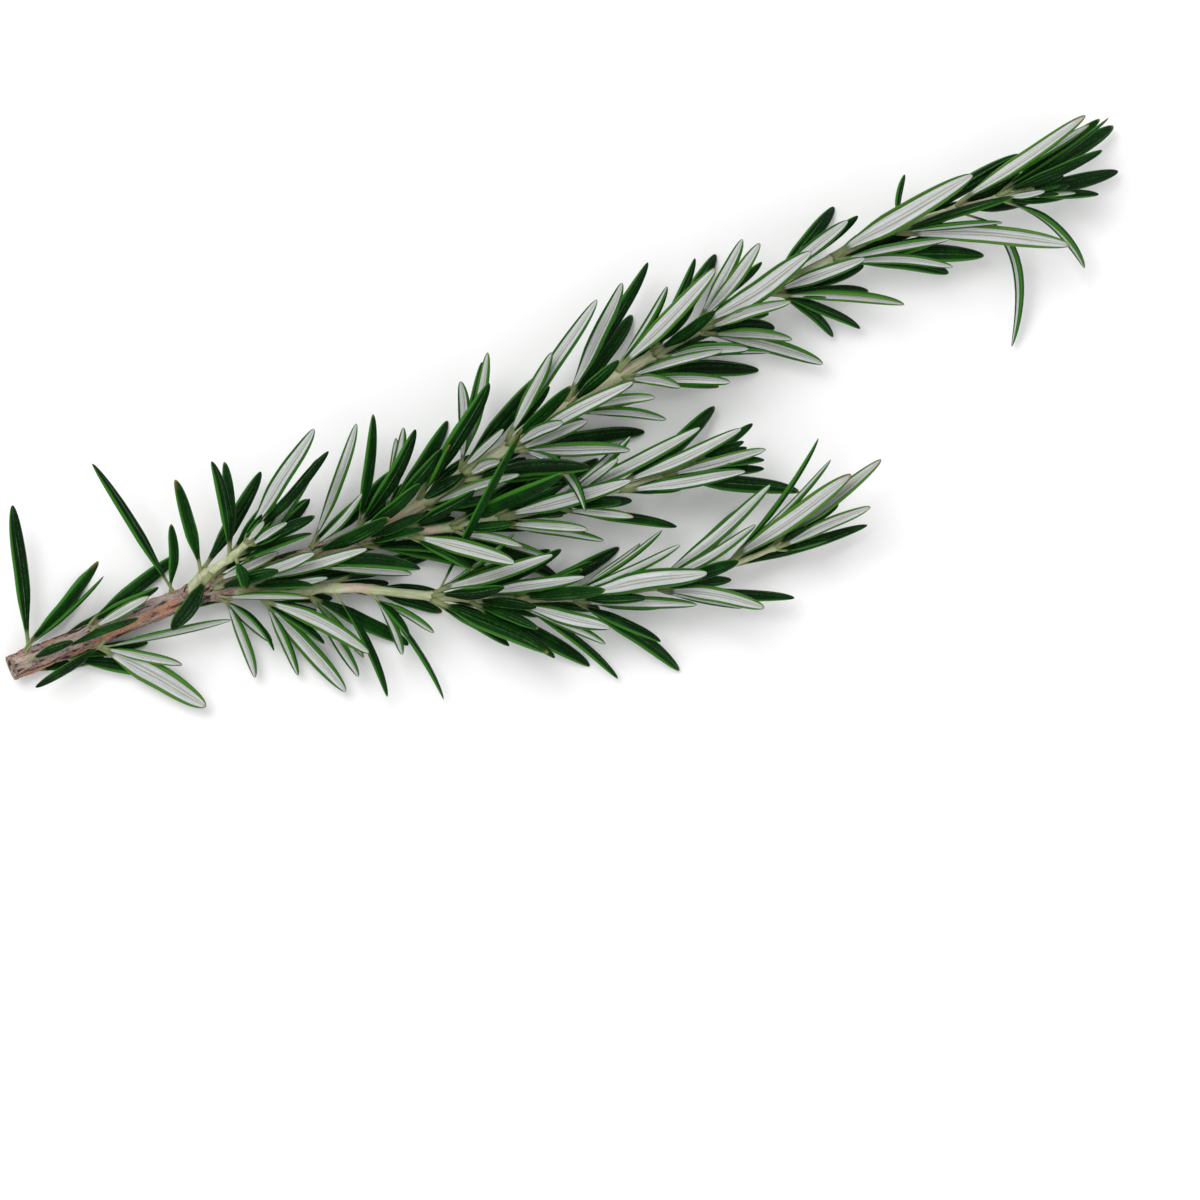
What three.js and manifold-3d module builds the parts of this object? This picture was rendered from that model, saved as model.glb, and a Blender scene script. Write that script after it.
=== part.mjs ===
// A cut sprig of rosemary, lying on a flat surface: one branched stem and the whorls of needle
// leaves that sit on its nodes.
//
// Millimetres and degrees. The shoots are laid out on a page seen from above: x to the right, y up
// the page, z up from the surface, with the cut end of the stem at x = 0, y = 0. At the end the page
// is turned so that the sprig's length runs along +X, and moved so that the middle of its footprint
// is the origin.

import * as THREE from "three";
import { mergeVertices } from "three/addons/utils/BufferGeometryUtils.js";
import Module from "manifold-3d";

const wasm = await Module();
wasm.setup();

// Direction of the sprig's length on the page
const LENGTH_ANGLE = 24.8;

// Stem
const STEM_SIDES = 8;
const STEM_STEP = 8;

// Ridge round each node, which joins the leaves of one whorl
const STEM_GAP = 0.3;
const RIDGE_GAP = 0.45;
const RIDGE_TUBE = 0.6;
const RIDGE_SEGMENTS = 7;
const RIDGE_TUBE_SIDES = 3;

// Leaf blade: a flat underside and a ridged upper side, widest past the middle, with a blunt tip
const LEAF_CORNERS = 3;
const LEAF_STEPS = 5;
const SHORT_LEAF = 15;
const SHORT_LEAF_STEPS = 4;
const LEAF_TIP_CROWDING = 1.5;
const LEAF_THICKNESS = 0.36;
const PETIOLE_WIDTH = 0.34;
const WIDEST_FROM = 0.5;
const TIP_ROUND_FROM = 0.62;
const TYPICAL_BOW = 0.25;

// Leaves that grow by rule where none is laid out by hand
const FULL_LENGTH = 26;
const FULL_WIDTH = 3.5;
const SLENDER = 0.75;
const TUFT_SHARE = 0.5;
const TUFT_SPREAD = 20;
const DARK_LIFT = -0.8;
const UPRIGHT_DARK_LIFT = -1.4;
const PALE_LIFT = 0.6;
const PALE_ABOVE = 0.45;
const DOWNWARD = -0.2;
const HIDDEN = -0.6;
const CROWDED_TURN = 25;
const UPRIGHT_TURN = 35;
const AXIL_TURN = 42;
const INNER_TURN = 72;
const ROWS = [
  { turns: [0, 180], share: 1, spread: 37 },
  { turns: [AXIL_TURN, 180 - AXIL_TURN, -AXIL_TURN, 180 + AXIL_TURN], share: 0.66, spread: 33 },
  { turns: [INNER_TURN, 180 - INNER_TURN, -INNER_TURN, 180 + INNER_TURN], share: 0.5, spread: 24 },
];
const NEXT_PAIR_TURN = 90;
const TURN_SCATTER = 8;
const SIZE_SCATTER = 0.12;
const SPREAD_SCATTER = 8;
const SEEDS_PER_WHORL = 11;

// Room that each leaf keeps, and how far it may turn or shorten to find it
const LEAF_CLEARANCE = 0.17;
const FREE_FROM = 0.3;
const TURN_STEPS = [0, 8, -8, 16, -16, 24, -24, 32, -32];
const SHORTER_STEPS = [1, 0.86, 0.72];

// Small lengths and counts for the arithmetic
const WELD = 1e-4;
const ON_AXIS = 1e-6;
const SEARCH_HALVINGS = 30;

const UP = new THREE.Vector3(0, 0, 1);

// Each shoot has a spine of hand-laid points, its thickness at both ends, and its whorls.
// A whorl is given by its place along x and by the leaves that are laid out by hand; complete means
// that the rule adds leaves only under the stem.
// A leaf is [tip x, tip y, tip z, width, bow, lift]: bow above 0 starts it along the stem and bends
// it outwards, and lift above 0 turns its pale underside up, below 0 its dark upper side.
const SHOOTS = [
  {
    name: "leader",
    thickness: [5.2, 1.4],
    spine: [
      [0, 0, 4.1], [33.4, 13.4, 5.6], [71.4, 26.8, 8.4], [94.4, 40.8, 10], [123.4, 59.4, 11.5],
      [154.4, 76.8, 12], [179.4, 88.8, 12.5], [205.4, 96, 14],
    ],
    whorls: [
      {
        x: 5,
        complete: true,
        leaves: [
          [0.8, 32.8, 10, 3.4, 0, -1], [18, 21.6, 9, 2.8, 0.2, -1], [19.2, 18.6, 13, 1.8, 0.2, -0.5],
          [13, 5.6, 11, 1.8, 0, -2],
        ],
      },
      { x: 11.4, complete: true, leaves: [[26.2, 10.2, 12, 1.6, 0.1, -1.8]] },
      {
        x: 17.6,
        complete: true,
        leaves: [
          [39.4, -7.6, 5, 5.4, 0, 1.8], [34.8, 0.8, 9, 2.6, 0, 0.75], [29, 12.6, 13, 2.2, 0, 0.5],
          [5.4, -3.7, 9, 2, 0, -1], [44.6, 9.8, 9, 2.2, 0, 0.2], [30, 16.4, 8, 2.6, 0.1, -1],
        ],
      },
      { x: 33.4, complete: true, leaves: [[17, 41, 16, 3, 0, -0.5], [32.6, 29, 12, 2.4, 0.1, -1]] },
      {
        x: 42.4,
        leaves: [
          [49.2, -1.8, 4, 3, 0.1, 0.75], [52.6, 5.2, 6, 3, 0.1, 0.75], [61.2, 12.6, 12, 2.2, 0.3],
          [54, 33, 15, 2.8], [53.2, 3.6, 12, 1.8, 0.5, -0.5],
        ],
      },
      { x: 48, leaves: [[62, 42, 15, 2.8, 0.2, 0.6], [72, 24, 17, 2.6, 0.2, 0.6]] },
      { x: 62, leaves: [[69.8, 49, 17, 2.8, 0.1, 0.75], [71, 35, 19, 2.2]] },
      { x: 71.4, leaves: [[73, 51, 12, 2.8, 0.1, -1]] },
      { x: 77, leaves: [[79.2, 48.2, 17, 2.8, 0.1, 0.75], [77.6, 46.2, 12, 2.4, 0.1, 0.7]] },
      { x: 84, leaves: [[88.4, 44.8, 21, 2.6, 0, -1], [102.4, 38.8, 22, 2.2]] },
      {
        x: 92,
        leaves: [
          [96, 63.2, 17, 3, 0.1, 0.75], [90.6, 57.4, 19, 3, 0.2, 0.75], [94.8, 61.4, 11, 2.6, 0.1, -1],
          [98.4, 41.6, 19, 2.4], [85, 31.6, 16, 2.4, 0, 0.75],
        ],
      },
      {
        x: 101.4,
        leaves: [
          [117.8, 73.6, 22, 3.4, 0, 0.75], [107.6, 65.2, 18, 3, 0.2, 0.7], [111, 49.2, 23, 2.6],
          [125, 57.2, 24, 3, 0, 0.75], [124.4, 43.6, 20, 3.4, 0.2, 0.75], [115.4, 31.4, 25, 3.2, 0.8, 0.75],
          [106.6, 58.8, 13, 2.6], [114.4, 51.8, 18, 2.8, 0.1, 0.75],
        ],
      },
      {
        x: 113.4,
        leaves: [
          [122.8, 77, 20, 3.6, 0.2, 0.75], [128, 81.4, 10, 3, 0.2, -1], [129.4, 54.2, 22, 2.6],
          [115.6, 65, 13, 2.6, 0.2, -1],
        ],
      },
      {
        x: 123.4,
        leaves: [
          [141.4, 79.8, 24, 3.8, 0, 0.75], [131.8, 76.4, 16, 3], [142.8, 63.4, 24, 2.2],
          [144.4, 57.2, 18, 3, 0.3, 0.5], [134.4, 56.2, 20, 2.6, 0.3, 0.75],
        ],
      },
      {
        x: 130.4,
        leaves: [[137.4, 82.2, 11, 2.4, 0.3, -1], [148, 63.8, 22, 3.2], [152.4, 63.2, 16, 3, 0.3]],
      },
      {
        x: 139.4,
        leaves: [
          [160.4, 83, 24, 4.4, -0.1, 0.75], [146.8, 85.8, 17, 3.2, 0.1, 0.7], [149.6, 86, 21, 3, 0.1, 0.75],
          [150.8, 81.4, 11, 2.4, 0.2, -1], [156.4, 73.2, 23, 2.6], [153.4, 68.2, 10, 4, 0.3, -1],
          [156.8, 65.8, 15, 3, 0.2, 0.5], [163.4, 60.4, 12, 3.8, 0.2, 1.1],
        ],
      },
      {
        x: 153.4,
        complete: true,
        leaves: [
          [171.2, 81.8, 22, 3, 0, 0.75], [167.8, 89.4, 20, 3, 0.1, 0.75], [170, 90.6, 12, 3, 0.2, -1],
          [172.2, 75.6, 9, 3, 0.3, -1], [179.2, 72.8, 14, 3.4, 0.3, 0.4],
          [165.2, 66.6, 2, 2.4, 0.3, -1], [170.6, 68.2, 4, 2.4, 0.3, -1], [172, 79.5, 7.5, 3.4, 0, -1.5],
        ],
      },
      {
        x: 166,
        complete: true,
        leaves: [
          [192.6, 98.4, 24, 4.6, -0.45, 1.1], [188, 85.6, 23, 2.4, 0, -0.3],
          [188.8, 80.2, 18, 2.6, 0.4, 0.5], [195.4, 82.8, 6, 4.2, 0.3, -1],
          [188.4, 79.4, 3, 3.4, 0.4, -1], [184, 88.5, 8, 3.2, 0, -1.5], [187, 87, 9, 3.4, 0.1, -1],
        ],
      },
      {
        x: 178.4,
        complete: true,
        leaves: [
          [202.4, 103, 9, 3.4, 0, -1], [212, 84.4, 21, 4, 0.3, 1.1], [199, 88, 20, 2.2, 0, -0.5],
          [191, 94.4, 8.5, 3.4, 0, -1.5], [179.4, 99, 9, 1.9, -0.3, -0.2],
          [201, 94.2, 19.5, 2.2, 0, -1.5],
        ],
      },
      {
        x: 190.8,
        complete: true,
        leaves: [
          [215, 110.2, 24, 3.3, 0, 0.75], [216, 108.6, 18, 2.6, 0, 0.6], [201, 64.6, 2, 3, 1.8, 0.5],
          [203, 99, 9, 3, 0, -1.5],
        ],
      },
      {
        x: 199.4,
        complete: true,
        leaves: [
          [222.4, 99.8, 3, 3.2, 0.4, -1], [215.4, 80.2, 8, 3, 1, 0.4], [218.4, 110, 11, 2.8, 0.1, -1],
          [220, 110.2, 15, 2], [218, 105.2, 21, 2.4, 0.25, -2.2],
          [207, 95.2, 21, 1.6],
        ],
      },
      { x: 204.4, leaves: [], tuft: true },
    ],
  },
  {
    name: "upper_shoot",
    thickness: [2.7, 1.4],
    spine: [[33.4, 13.4, 5.6], [37.4, 17.6, 9], [45.4, 22.8, 13.5], [49.4, 26.4, 17]],
    whorls: [
      {
        x: 39.5,
        complete: true,
        leaves: [[32.8, 7.8, 13, 3.4, 0, -1.5], [33.6, 37.8, 18, 3, 0.1, -1]],
      },
      {
        x: 45.4,
        complete: true,
        leaves: [
          [41, 41.4, 22, 3, 0.2, -0.5], [43.4, 41.4, 16, 2.6, 0.2, -1], [47.8, 15.8, 18, 2.6, 0, -1],
          [61, 27, 19, 2.4],
        ],
      },
      { x: 48.8, leaves: [[61.6, 47.8, 27, 3.6, 0.1, 2.5], [64.4, 43.4, 23, 2.2]], tuft: true },
    ],
  },
  {
    name: "middle_shoot",
    thickness: [2.6, 1.3],
    spine: [
      [72.8, 27.2, 8.6], [78.4, 27.2, 9.6], [95.4, 29.4, 11.5], [123.4, 36.4, 13], [140.4, 42.4, 15],
    ],
    whorls: [
      { x: 81.4, leaves: [] },
      { x: 90.4, leaves: [] },
      {
        x: 99.4,
        leaves: [
          [124.6, 37.6, 22, 3.4, 0, 0.75], [116, 27.8, 19, 2.6], [119.2, 25.6, 14, 2.6, 0.2, 0.5],
          [107, 25.4, 12, 2.6, 0.1, 0.75],
        ],
      },
      {
        x: 111.4,
        leaves: [[133.8, 28.4, 11, 2.6, 0.2, -1], [138.4, 48.2, 19, 3.2, 0.2, 0.75], [122, 42, 21, 2.2]],
      },
      {
        x: 123.4,
        complete: true,
        leaves: [[146.4, 48.8, 21, 3, 0.2, 0.75], [147.4, 39.4, 22, 3, 0.1, 0.5]],
      },
      {
        x: 132,
        complete: true,
        leaves: [[151.4, 43.8, 22, 2.6], [151.2, 40, 16, 2.6, 0.1, -1]],
      },
      { x: 139, leaves: [], tuft: true },
    ],
  },
  {
    name: "lower_shoot",
    thickness: [2.9, 1.4],
    spine: [
      [38, 15.2, 6], [54, 15.2, 7], [66, 16.4, 7.8], [86.4, 14.4, 8.6], [110.4, 14.2, 9.5],
      [128.4, 16.2, 10], [146.4, 21.4, 11], [157, 26, 12.5],
    ],
    whorls: [
      { x: 51.5, leaves: [[67.4, -4.6, 4, 4, 0, 1.1], [57.8, -1.4, 3, 2.8, 0, 0.75]] },
      { x: 60.4, complete: true, leaves: [[70, -1.6, 7, 3.2, 0, 0.75], [71, 2.2, 4, 2.4, 0.1, 0.8]] },
      { x: 66, complete: true, leaves: [[75.8, -5.6, 8, 2.2, 0.2, -0.6]] },
      {
        x: 74,
        complete: true,
        leaves: [
          [78.8, 2.8, 9, 2.6, 0.2, 0.5], [80.2, 6.6, 13, 2.4, 0.1, -1], [85.2, 7.2, 11, 2.6],
          [87, -6.2, 3, 2.2],
        ],
      },
      {
        x: 86.4,
        leaves: [[109, 22.8, 18, 3.2, 0, 0.75], [101.4, 27.8, 12, 2.2], [103, 48, 28, 2, 0, -1.2]],
      },
      { x: 94, leaves: [[115.4, 18.4, 17, 3, 0.1, 0.5]] },
      { x: 103, leaves: [[120.4, 8.2, 16, 3.4, 0.1, 0.75], [122, -2, 2, 2.4]] },
      {
        x: 114.4,
        leaves: [
          [139.8, 19.2, 21, 4.2, 0, 0.75], [137.8, 12.8, 14, 3, 0.2], [130.8, 27.8, 14, 2.2],
          [134.4, 24.8, 18, 2.4],
        ],
      },
      {
        x: 131,
        leaves: [[152.4, 36.8, 19, 3.2, 0.1, 0.75], [149.4, 28.8, 22, 2.6], [157.4, 14.2, 7, 2.6, 0.2, -1]],
      },
      {
        x: 145.4,
        complete: true,
        leaves: [
          [168.4, 38.8, 24, 4, 0, 0.75], [162, 46.2, 15, 2.6], [164.4, 41.8, 19, 2.2],
          [172, 28.8, 7, 2.4, 0.1, -1],
        ],
      },
      { x: 154.6, leaves: [[174.4, 41.8, 22, 3.2, 0, 0.75], [172.4, 32.4, 17, 2.6]], tuft: true },
    ],
  },
];

// Colours as seen on the sprig
const BARK = new THREE.MeshStandardMaterial({ color: 0x8a6a4a, roughness: 0.85, metalness: 0 });
const FOLIAGE = new THREE.MeshStandardMaterial({ color: 0x2f5a24, roughness: 0.5, metalness: 0 });

function solidOf(geometry) {
  geometry.deleteAttribute("normal");
  geometry.deleteAttribute("uv");
  const merged = mergeVertices(geometry, WELD);
  return new wasm.Manifold(new wasm.Mesh({
    numProp: 3,
    vertProperties: new Float32Array(merged.attributes.position.array),
    triVerts: new Uint32Array(merged.index.array),
  }));
}

function geometryOf(solid) {
  const mesh = solid.getMesh();
  const geometry = new THREE.BufferGeometry();
  geometry.setAttribute("position", new THREE.BufferAttribute(mesh.vertProperties, 3));
  geometry.setIndex(new THREE.BufferAttribute(mesh.triVerts, 1));
  geometry.computeVertexNormals();
  return geometry;
}

// Moves every vertex of a geometry that stands along y to where place(vertex) puts it.
function reshape(geometry, place) {
  const positions = geometry.attributes.position;
  const vertex = new THREE.Vector3();
  for (let i = 0; i < positions.count; i += 1) {
    vertex.fromBufferAttribute(positions, i);
    const moved = place(vertex);
    positions.setXYZ(i, moved.x, moved.y, moved.z);
  }
  return geometry;
}

// Repeatable scatter between -1 and 1: the far decimals of a sine
const SCATTER_PITCH = 12.9898;
const SCATTER_HEIGHT = 43758.5453;

function scatter(seed) {
  const wave = Math.sin(seed * SCATTER_PITCH) * SCATTER_HEIGHT;
  return 2 * (wave - Math.floor(wave)) - 1;
}

function spineOf(shoot) {
  const points = shoot.spine.map(([x, y, z]) => new THREE.Vector3(x, y, z));
  return new THREE.CatmullRomCurve3(points, false, "centripetal");
}

function stemRadius(shoot, share) {
  const [root, tip] = shoot.thickness;
  return THREE.MathUtils.lerp(root, tip, share) / 2;
}

// A tapering round shoot along its spine, with room round it where grow is above 0
function shootSolid(shoot, grow) {
  const spine = spineOf(shoot);
  const steps = Math.round(spine.getLength() / STEM_STEP);
  const column = new THREE.CylinderGeometry(1, 1, 1, STEM_SIDES, steps);
  return solidOf(reshape(column, (vertex) => {
    const share = THREE.MathUtils.clamp(vertex.y + 0.5, 0, 1);
    const along = spine.getTangentAt(share);
    const across = new THREE.Vector3().crossVectors(along, UP).normalize();
    const above = new THREE.Vector3().crossVectors(across, along);
    const radius = stemRadius(shoot, share) + grow;
    return spine.getPointAt(share)
      .addScaledVector(across, vertex.x * radius)
      .addScaledVector(above, vertex.z * radius);
  }));
}

// The place on a spine with the given page x, as a share of its length
function shareAtX(spine, x) {
  let low = 0;
  let high = 1;
  for (let halving = 0; halving < SEARCH_HALVINGS; halving += 1) {
    const middle = (low + high) / 2;
    if (spine.getPointAt(middle).x < x) {
      low = middle;
    } else {
      high = middle;
    }
  }
  return (low + high) / 2;
}

function nodeOf(shoot, spine, x) {
  const share = shareAtX(spine, x);
  const along = spine.getTangentAt(share);
  const above = UP.clone().addScaledVector(along, -UP.dot(along)).normalize();
  return {
    centre: spine.getPointAt(share),
    along,
    above,
    across: new THREE.Vector3().crossVectors(along, above),
    radius: stemRadius(shoot, share),
    share,
  };
}

// Radius of the ring round a node, where its leaves are rooted
function ridgeRadius(node) {
  return (node.radius + RIDGE_GAP) / Math.cos(Math.PI / RIDGE_SEGMENTS) + RIDGE_TUBE / 2;
}

// The raised ring round a node
function ridgeSolid(node, grow) {
  const tube = RIDGE_TUBE + grow;
  const ring = new THREE.TorusGeometry(ridgeRadius(node), tube, RIDGE_TUBE_SIDES, RIDGE_SEGMENTS);
  ring.applyQuaternion(new THREE.Quaternion().setFromUnitVectors(UP, node.along));
  ring.translate(node.centre.x, node.centre.y, node.centre.z);
  return solidOf(ring);
}

// Share of the full width at a share of the leaf's length
function leafOutline(share) {
  const widening = THREE.MathUtils.smoothstep(share, 0, WIDEST_FROM);
  const pastRound = Math.max(0, share - TIP_ROUND_FROM) / (1 - TIP_ROUND_FROM);
  const rounding = Math.sqrt(Math.max(0, 1 - pastRound ** 2));
  return (PETIOLE_WIDTH + (1 - PETIOLE_WIDTH) * widening) * rounding;
}

// The corners of a leaf's cross-section, raised where it would reach below the surface.
// grow adds room all round it.
function leafRing(node, leaf, midline, share, grow) {
  const forward = midline.getTangent(share);
  const under = node.along.clone().multiplyScalar(-forward.dot(leaf.outward));
  under.addScaledVector(leaf.outward, forward.dot(node.along)).addScaledVector(UP, leaf.lift);
  under.addScaledVector(forward, -under.dot(forward)).normalize();
  const sideways = new THREE.Vector3().crossVectors(under, forward);
  const wide = leaf.width * leafOutline(share);
  const centre = midline.getPoint(share);
  const ridge = centre.clone().addScaledVector(under, -LEAF_THICKNESS * wide - grow);
  const base = centre.clone().addScaledVector(under, grow);
  const left = base.clone().addScaledVector(sideways, -wide / 2 - grow);
  const right = base.clone().addScaledVector(sideways, wide / 2 + grow);
  const lowest = Math.min(ridge.z, left.z, right.z);
  const corners = { centre, ridge, left, right };
  for (const corner of Object.values(corners)) {
    corner.z -= Math.min(0, lowest);
  }
  return corners;
}

// A leaf from its root on the node to its tip, without its first share where from is above 0
function leafSolid(node, leaf, from, grow) {
  const root = node.centre.clone().addScaledVector(leaf.outward, ridgeRadius(node));
  const reach = leaf.tip.clone().sub(root);
  const start = reach.clone().normalize().addScaledVector(node.along, leaf.bow).normalize();
  const middle = root.clone().addScaledVector(start, reach.length() / 2);
  const midline = new THREE.QuadraticBezierCurve3(root, middle, leaf.tip);
  const steps = reach.length() < SHORT_LEAF ? SHORT_LEAF_STEPS : LEAF_STEPS;
  const blade = new THREE.ConeGeometry(1, 1, LEAF_CORNERS, steps);
  return solidOf(reshape(blade, (vertex) => {
    const step = 1 - (0.5 - vertex.y) ** LEAF_TIP_CROWDING;
    const ring = leafRing(node, leaf, midline, from + (1 - from) * step, grow);
    if (Math.hypot(vertex.x, vertex.z) < ON_AXIS) {
      return ring.centre;
    }
    if (vertex.z > 0) {
      return ring.ridge;
    }
    return vertex.x < 0 ? ring.left : ring.right;
  }));
}

// The same leaf, turned about the stem by some degrees and shortened
function leafVariant(node, leaf, turn, share) {
  const reach = leaf.tip.clone().sub(node.centre);
  reach.applyAxisAngle(node.along, THREE.MathUtils.degToRad(turn)).multiplyScalar(share);
  const tip = node.centre.clone().add(reach);
  tip.z = Math.max(0, tip.z);
  const outward = tip.clone().sub(node.centre);
  outward.addScaledVector(node.along, -outward.dot(node.along)).normalize();
  return { ...leaf, tip, outward, width: leaf.width * Math.sqrt(share) };
}

function boxesMeet(a, b) {
  const axes = [0, 1, 2];
  return axes.every((axis) => a.min[axis] <= b.max[axis] && b.min[axis] <= a.max[axis]);
}

function solidsMeet(a, b) {
  return boxesMeet(a.boundingBox(), b.boundingBox()) && !a.intersect(b).isEmpty();
}

// Everything that a new leaf has to keep clear of: { whorl, whole, free }. Leaves of one whorl grow
// from the same node, so there only their free lengths are kept apart.
const taken = [];

function hasRoom(whorl, whole, free) {
  return taken.every((other) => {
    if (other.whorl === whorl) {
      return other.free === null || !solidsMeet(free, other.free);
    }
    return !solidsMeet(whole, other.whole);
  });
}

// Adds a leaf to a whorl in the first way that it has room, or leaves it out
function growLeaf(whorl, leaf) {
  for (const share of SHORTER_STEPS) {
    for (const turn of TURN_STEPS) {
      const variant = leafVariant(whorl.node, leaf, turn, share);
      const whole = leafSolid(whorl.node, variant, 0, LEAF_CLEARANCE);
      const free = leafSolid(whorl.node, variant, FREE_FROM, LEAF_CLEARANCE);
      if (hasRoom(whorl, whole, free)) {
        taken.push({ whorl, whole, free });
        whorl.grown.push(variant);
        return;
      }
    }
  }
}

function growLaidLeaves(whorl) {
  for (const [x, y, z, width, bow = TYPICAL_BOW, lift = 0] of whorl.leaves) {
    growLeaf(whorl, { tip: new THREE.Vector3(x, y, z), width, bow, lift });
  }
}

// Whether a leaf of the whorl already points within CROWDED_TURN of this way
function isCrowded(whorl, outward) {
  const limit = Math.cos(THREE.MathUtils.degToRad(CROWDED_TURN));
  return whorl.grown.some((leaf) => leaf.outward.dot(outward) > limit);
}

// Which side of a leaf by rule turns up: mostly the dark one
function ruleLift(outward, seed) {
  const isPale = outward.z > DOWNWARD && scatter(seed) > PALE_ABOVE;
  return isPale ? PALE_LIFT : DARK_LIFT + UPRIGHT_DARK_LIFT * Math.max(0, outward.z);
}

// One leaf by rule, the given turn round the stem from upright, or null where it isn't wanted
function ruleLeaf(whorl, row, turn, seed) {
  const { node } = whorl;
  const degrees = UPRIGHT_TURN + NEXT_PAIR_TURN * whorl.seed + turn + TURN_SCATTER * scatter(seed);
  const angle = THREE.MathUtils.degToRad(degrees);
  const outward = node.above.clone().multiplyScalar(Math.cos(angle));
  outward.addScaledVector(node.across, Math.sin(angle));
  if (isCrowded(whorl, outward) || (whorl.complete && outward.z > HIDDEN)) {
    return null;
  }
  const size = row.share * (whorl.tuft ? TUFT_SHARE : 1) * (1 + SIZE_SCATTER * scatter(seed + 0.3));
  const opening = (whorl.tuft ? TUFT_SPREAD : row.spread) + SPREAD_SCATTER * scatter(seed + 0.6);
  const spread = THREE.MathUtils.degToRad(opening);
  const reach = FULL_LENGTH * size;
  const tip = node.centre.clone()
    .addScaledVector(outward, node.radius + reach * Math.sin(spread))
    .addScaledVector(node.along, reach * Math.cos(spread));
  const width = FULL_WIDTH * size ** SLENDER;
  return { tip, width, bow: TYPICAL_BOW, lift: ruleLift(outward, seed + 0.9) };
}

// Leaves by rule: an opposite pair, turned a quarter from the whorl before, then the axil leaves
function growRuleLeaves(whorl) {
  let seed = whorl.seed * SEEDS_PER_WHORL;
  for (const row of ROWS) {
    for (const turn of row.turns) {
      const leaf = ruleLeaf(whorl, row, turn, seed);
      if (leaf !== null) {
        growLeaf(whorl, leaf);
      }
      seed += 1;
    }
  }
}

function whorlsOf(shoot) {
  const spine = spineOf(shoot);
  return shoot.whorls.map(({ x, leaves, complete = false, tuft = false }, index) => {
    const number = String(index + 1).padStart(2, "0");
    return {
      name: tuft ? `${shoot.name}_tip_leaves` : `${shoot.name}_leaves_${number}`,
      node: nodeOf(shoot, spine, x),
      seed: index,
      grown: [],
      leaves,
      complete,
      tuft,
    };
  });
}

function stemSolid(grow) {
  const shoots = SHOOTS.map((shoot) => shootSolid(shoot, grow));
  return shoots.reduce((whole, part) => whole.add(part));
}

const stem = stemSolid(0);
const stemWithRoom = stemSolid(STEM_GAP);
const whorls = SHOOTS.flatMap(whorlsOf);
taken.push({ whorl: null, whole: stem, free: null });
for (const whorl of whorls) {
  taken.push({ whorl, whole: ridgeSolid(whorl.node, LEAF_CLEARANCE), free: null });
}
whorls.forEach(growLaidLeaves);
whorls.forEach(growRuleLeaves);

const sprig = new THREE.Group();

function addMesh(name, solid, material) {
  const mesh = new THREE.Mesh(geometryOf(solid), material);
  mesh.name = name;
  sprig.add(mesh);
}

addMesh("stem", stem, BARK);
for (const { name, node, grown } of whorls) {
  const leaves = grown.map((leaf) => leafSolid(node, leaf, 0, 0));
  const ridge = ridgeSolid(node, 0).subtract(stemWithRoom);
  addMesh(name, leaves.reduce((whole, part) => whole.add(part), ridge), FOLIAGE);
}

// Turn the page so that the sprig's length runs along +X, and set it on the origin
sprig.rotation.z = -THREE.MathUtils.degToRad(LENGTH_ANGLE);
const footprint = new THREE.Box3().setFromObject(sprig, true);
const middle = footprint.getCenter(new THREE.Vector3());
sprig.position.set(-middle.x, -middle.y, -footprint.min.z);

export default sprig;
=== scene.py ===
import math
import random

import bmesh
import bpy
import numpy as np
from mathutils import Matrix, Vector, noise
from mathutils.bvhtree import BVHTree
from mathutils.kdtree import KDTree


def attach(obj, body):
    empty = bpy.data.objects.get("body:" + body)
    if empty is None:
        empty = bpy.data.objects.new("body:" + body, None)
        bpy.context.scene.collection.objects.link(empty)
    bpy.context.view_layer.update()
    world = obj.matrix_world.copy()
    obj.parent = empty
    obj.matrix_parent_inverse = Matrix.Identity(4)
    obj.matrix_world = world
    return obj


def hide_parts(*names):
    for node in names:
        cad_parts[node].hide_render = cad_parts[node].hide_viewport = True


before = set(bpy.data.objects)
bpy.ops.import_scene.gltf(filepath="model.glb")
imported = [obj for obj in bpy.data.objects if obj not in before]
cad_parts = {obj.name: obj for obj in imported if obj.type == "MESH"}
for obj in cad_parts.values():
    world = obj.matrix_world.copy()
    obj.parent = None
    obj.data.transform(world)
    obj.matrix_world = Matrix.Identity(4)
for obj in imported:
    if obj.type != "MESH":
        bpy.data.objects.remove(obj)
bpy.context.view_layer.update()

MM = 0.001
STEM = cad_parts["stem"]

# How the leaves of the frame are drawn: rings of three corners, crowded towards the tip
WELD = 0.01 * MM
RING_COUNTS = (5, 4)
RING_CROWDING = 1.5
SURE_RINGS = 3
SAME_WIDTH = 0.02
PETIOLE_WIDTH = 0.34
WIDEST_FROM = 0.5
TIP_ROUND_FROM = 0.62

# Half of a leaf's cross-section, in half widths: across from the middle, and height to the upper side
UPPER_HALF = [(0, 0.66), (0.08, 0.74), (0.27, 0.82), (0.54, 0.77), (0.79, 0.58), (0.95, 0.32), (1, 0.08)]
UNDER_HALF = [(0.98, -0.05), (0.9, -0.13), (0.8, -0.11), (0.72, 0.02), (0.63, 0.13), (0.4, 0.24),
              (0.16, 0.24), (0.07, 0.14), (0, 0.1)]
FELT_EDGE = 0.66
MARGIN_FELT = 0.3
FELT_FULL_BY = 0.11
STALK_WIDTH = 0.25
STALK_WIDENS_TO = 0.42
TIP_NARROWS_FROM = 0.57
TIP_POINT = 0.53
PETIOLE_HEIGHT = 0.55
PETIOLE_MIDDLE = 0.25
PETIOLE_FLARE = 0.7
PETIOLE_RUN = 1.2 * MM
PETIOLE_SINK = 0.55 * MM
PETIOLE_STEPS = 4
BLADE_FROM = 0.07
BLADE_STEPS = 18
BLADE_CROWDING = 1.6
BLADE_SHAPED_BY = 0.2
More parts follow.
